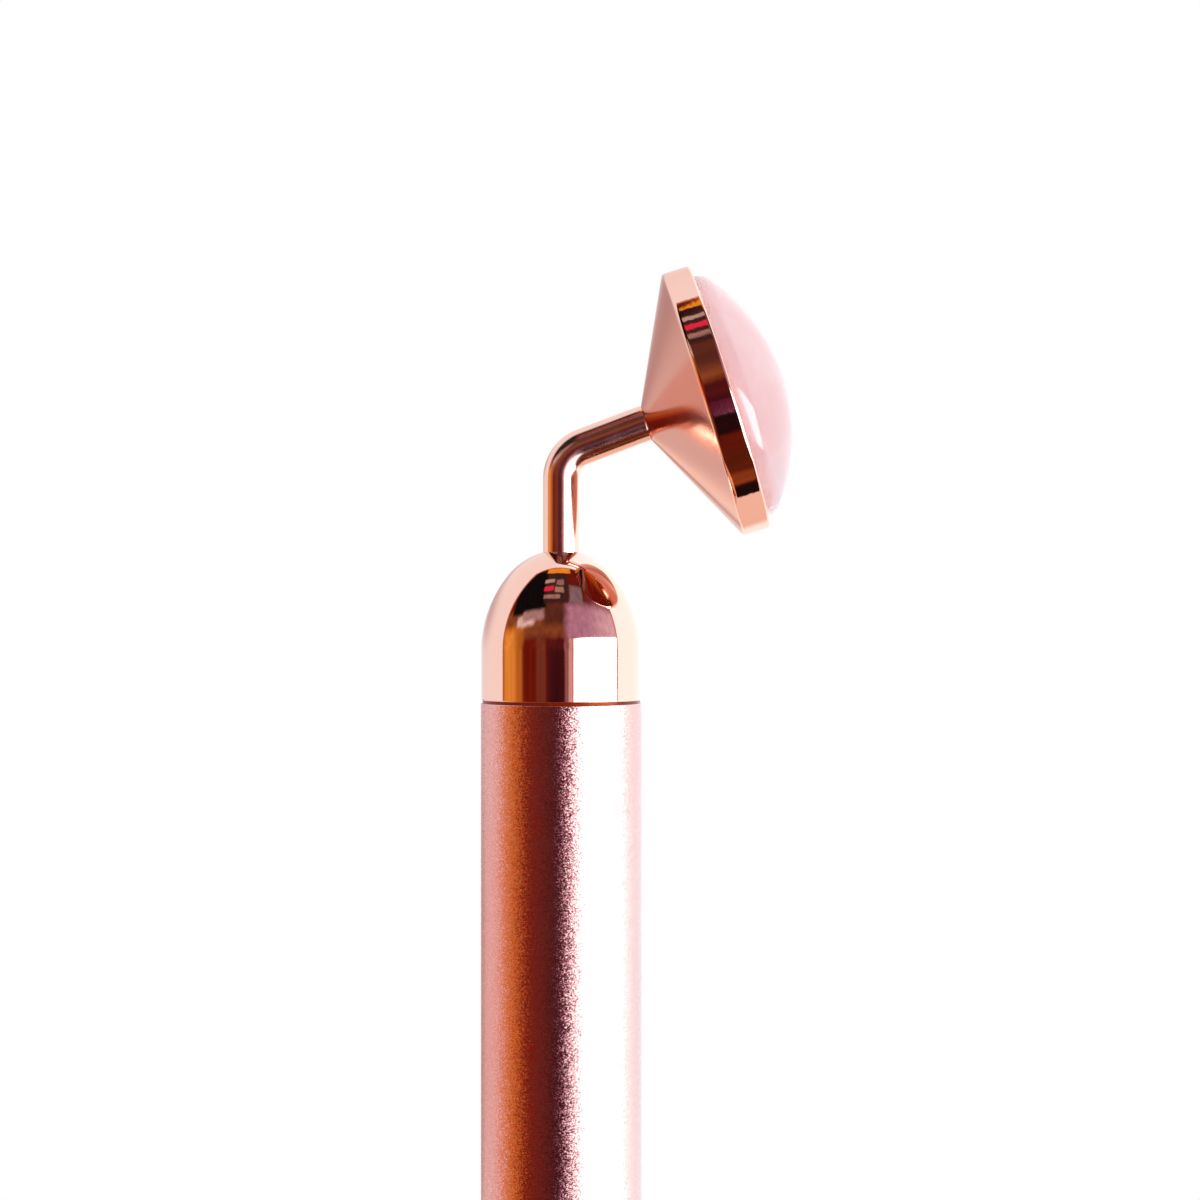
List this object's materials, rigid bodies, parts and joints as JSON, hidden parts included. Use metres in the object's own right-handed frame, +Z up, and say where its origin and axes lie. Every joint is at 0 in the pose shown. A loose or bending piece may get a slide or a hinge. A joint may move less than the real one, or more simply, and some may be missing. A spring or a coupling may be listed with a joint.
{
  "type": "face contour bar",
  "caption": "Slim battery handle with a domed cap, a bent neck and a round cup that carries a polished stone dome; a motor with an eccentric weight inside makes it vibrate.",
  "frame": {"origin": "centre of the tail's flat end face", "axes": "+Z up the handle's axis towards the head, +X the side that the head faces"},
  "size_m": [0.0319, 0.028, 0.1596],
  "materials": {
    "rose_gold_satin": "satin",
    "rose_gold_polished": "polished",
    "rose_gold_neck": "polished",
    "rose_quartz": "gloss",
    "clear_adhesive": "satin",
    "seal_rubber": "matte",
    "gasket_rubber": "matte",
    "carrier_plastic": "satin",
    "nylon_white": "satin",
    "contact_brass": "satin",
    "wire_red": "satin",
    "wire_black": "satin",
    "plated_steel": "satin",
    "spring_steel": "satin",
    "lamination_steel": "satin",
    "magnet_ferrite": "matte",
    "copper": "satin",
    "bronze_bush": "matte",
    "tungsten_weight": "satin",
    "cell_mass": "matte",
    "cell_sleeve": "gloss"
  },
  "bodies": {
    "handle": {"quartz_dome": "rose_quartz", "stone_adhesive": "clear_adhesive", "head_cup": "rose_gold_polished", "neck_rod": "rose_gold_neck", "neck_washer": "plated_steel", "neck_nut": "plated_steel", "dome_cap": "rose_gold_polished", "seam_gasket": "gasket_rubber", "handle_tube": "rose_gold_satin", "motor_carrier": "carrier_plastic", "positive_contact": "contact_brass", "earth_leaf": "contact_brass", "positive_lead": "wire_red", "negative_lead": "wire_black", "motor_can": "plated_steel", "motor_magnets": "magnet_ferrite", "motor_end_cap": "nylon_white", "upper_bush": "bronze_bush", "lower_bush": "bronze_bush", "motor_brushes": "contact_brass", "motor_terminals": "contact_brass"},
    "rotor": {"rotor_core": "lamination_steel", "rotor_windings": "copper", "commutator": "copper", "commutator_sleeve": "nylon_white", "rotor_shaft": "plated_steel", "eccentric_weight": "tungsten_weight"},
    "cell": {"cell_can": "plated_steel", "cell_filling": "cell_mass", "cell_jacket": "cell_sleeve", "cell_grommet": "nylon_white", "cell_negative_plate": "plated_steel"},
    "tail_contact": {"spring_plate": "plated_steel", "contact_spring": "spring_steel"},
    "tail_cap": {"tail_cap": "rose_gold_polished", "tail_seal": "seal_rubber"}
  },
  "joints": [
    {"name": "motor_spin", "type": "hinge", "parent": "handle", "child": "rotor", "pos_m": [0, 0, 0.107], "axis": [0, 0, 1], "continuous": true},
    {"name": "tail_cap_pull", "type": "slide", "parent": "handle", "child": "tail_contact", "axis": [0, 0, -1], "range_m": [0, 0.08]},
    {"name": "power_twist", "type": "hinge", "parent": "tail_contact", "child": "tail_cap", "pos_m": [0, 0, 0.0065], "axis": [0, 0, 1], "range_deg": [0, 90]},
    {"name": "battery_pull", "type": "slide", "parent": "handle", "child": "cell", "axis": [0, 0, -1], "range_m": [0, 0.064]}
  ],
  "couplings": [
    {"joint": "battery_pull", "follows": "tail_cap_pull", "ratio": 0.8}
  ]
}
